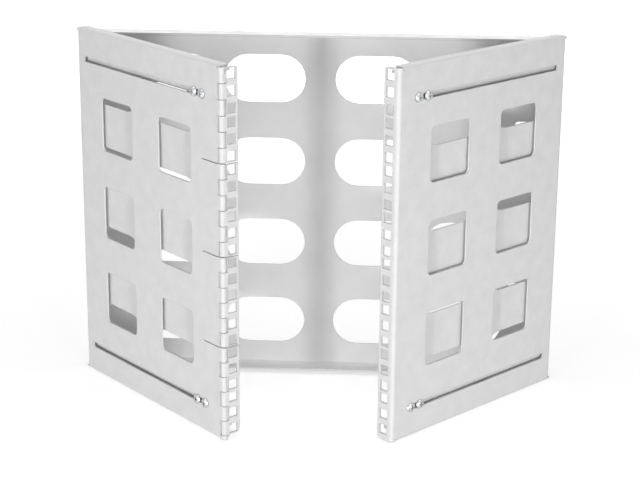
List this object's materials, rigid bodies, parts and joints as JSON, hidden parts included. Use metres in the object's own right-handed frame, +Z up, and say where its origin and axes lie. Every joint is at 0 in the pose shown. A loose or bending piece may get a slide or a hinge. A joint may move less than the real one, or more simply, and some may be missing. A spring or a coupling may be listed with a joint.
{
  "type": "wall mount open frame rack",
  "caption": "Folding open frame wall rack: slotted back plate, two sliding side panels with windows, square hole rack rails, one rail hinged in sections.",
  "frame": {"origin": "middle of the back plate's wall face", "axes": "+Y into the wall, +Z up, +X to the right seen from the front"},
  "size_m": [0.4847, 0.1975, 0.3614],
  "materials": {
    "plate_coat": "fine textured white powder coat",
    "inner_coat": "fine textured white powder coat",
    "outer_coat": "fine textured white powder coat",
    "rail_coat": "fine textured white powder coat",
    "screw_steel": "bright zinc plate",
    "nut_steel": "zinc plate",
    "rivet_steel": "bright steel",
    "pin_steel": "plain steel wire",
    "nylon": "white nylon"
  },
  "bodies": {
    "back": {"back_plate": "plate_coat", "left_pivot_rivet_top": "rivet_steel", "left_pivot_rivet_bottom": "rivet_steel", "right_pivot_rivet_top": "rivet_steel", "right_pivot_rivet_bottom": "rivet_steel"},
    "left_inner": {"left_inner_panel": "inner_coat", "left_slot_screw_top_1": "screw_steel", "left_slot_screw_top_2": "screw_steel", "left_slot_screw_bottom_1": "screw_steel", "left_slot_screw_bottom_2": "screw_steel", "left_slot_nut_top_1": "nut_steel", "left_slot_nut_top_2": "nut_steel", "left_slot_nut_bottom_1": "nut_steel", "left_slot_nut_bottom_2": "nut_steel", "left_slot_spacer_top_1": "nylon", "left_slot_spacer_top_2": "nylon", "left_slot_spacer_bottom_1": "nylon", "left_slot_spacer_bottom_2": "nylon"},
    "right_inner": {"right_inner_panel": "inner_coat", "right_slot_screw_top_1": "screw_steel", "right_slot_screw_top_2": "screw_steel", "right_slot_screw_bottom_1": "screw_steel", "right_slot_screw_bottom_2": "screw_steel", "right_slot_nut_top_1": "nut_steel", "right_slot_nut_top_2": "nut_steel", "right_slot_nut_bottom_1": "nut_steel", "right_slot_nut_bottom_2": "nut_steel", "right_slot_spacer_top_1": "nylon", "right_slot_spacer_top_2": "nylon", "right_slot_spacer_bottom_1": "nylon", "right_slot_spacer_bottom_2": "nylon"},
    "left_outer": {"left_outer_panel": "outer_coat", "left_rail_hinge_pin": "pin_steel"},
    "right_outer": {"right_outer_panel": "outer_coat"},
    "left_rail_1": {"left_rail_section_1": "rail_coat"},
    "left_rail_2": {"left_rail_section_2": "rail_coat"},
    "left_rail_3": {"left_rail_section_3": "rail_coat"},
    "left_rail_4": {"left_rail_section_4": "rail_coat"}
  },
  "joints": [
    {"name": "left_fold", "type": "hinge", "parent": "back", "child": "left_inner", "pos_m": [-0.22991, -0.0121, 0], "axis": [0, 0, -1], "range_deg": [-22.8, 42.2]},
    {"name": "left_slide", "type": "slide", "parent": "left_inner", "child": "left_outer", "axis": [0.6717, -0.7408, 0], "range_m": [0, 0.18]},
    {"name": "left_rail_1_hinge", "type": "hinge", "parent": "left_outer", "child": "left_rail_1", "pos_m": [-0.0794, -0.19447, 0], "axis": [0, 0, -1], "range_deg": [0, 120]},
    {"name": "left_rail_2_hinge", "type": "hinge", "parent": "left_outer", "child": "left_rail_2", "pos_m": [-0.0794, -0.19447, 0], "axis": [0, 0, -1], "range_deg": [0, 120]},
    {"name": "left_rail_3_hinge", "type": "hinge", "parent": "left_outer", "child": "left_rail_3", "pos_m": [-0.0794, -0.19447, 0], "axis": [0, 0, -1], "range_deg": [0, 120]},
    {"name": "left_rail_4_hinge", "type": "hinge", "parent": "left_outer", "child": "left_rail_4", "pos_m": [-0.0794, -0.19447, 0], "axis": [0, 0, -1], "range_deg": [0, 120]},
    {"name": "right_fold", "type": "hinge", "parent": "back", "child": "right_inner", "pos_m": [0.22991, -0.0121, 0], "axis": [0, 0, 1], "range_deg": [-21.9, 43.1]},
    {"name": "right_slide", "type": "slide", "parent": "right_inner", "child": "right_outer", "axis": [-0.6833, -0.7302, 0], "range_m": [0, 0.18]}
  ]
}
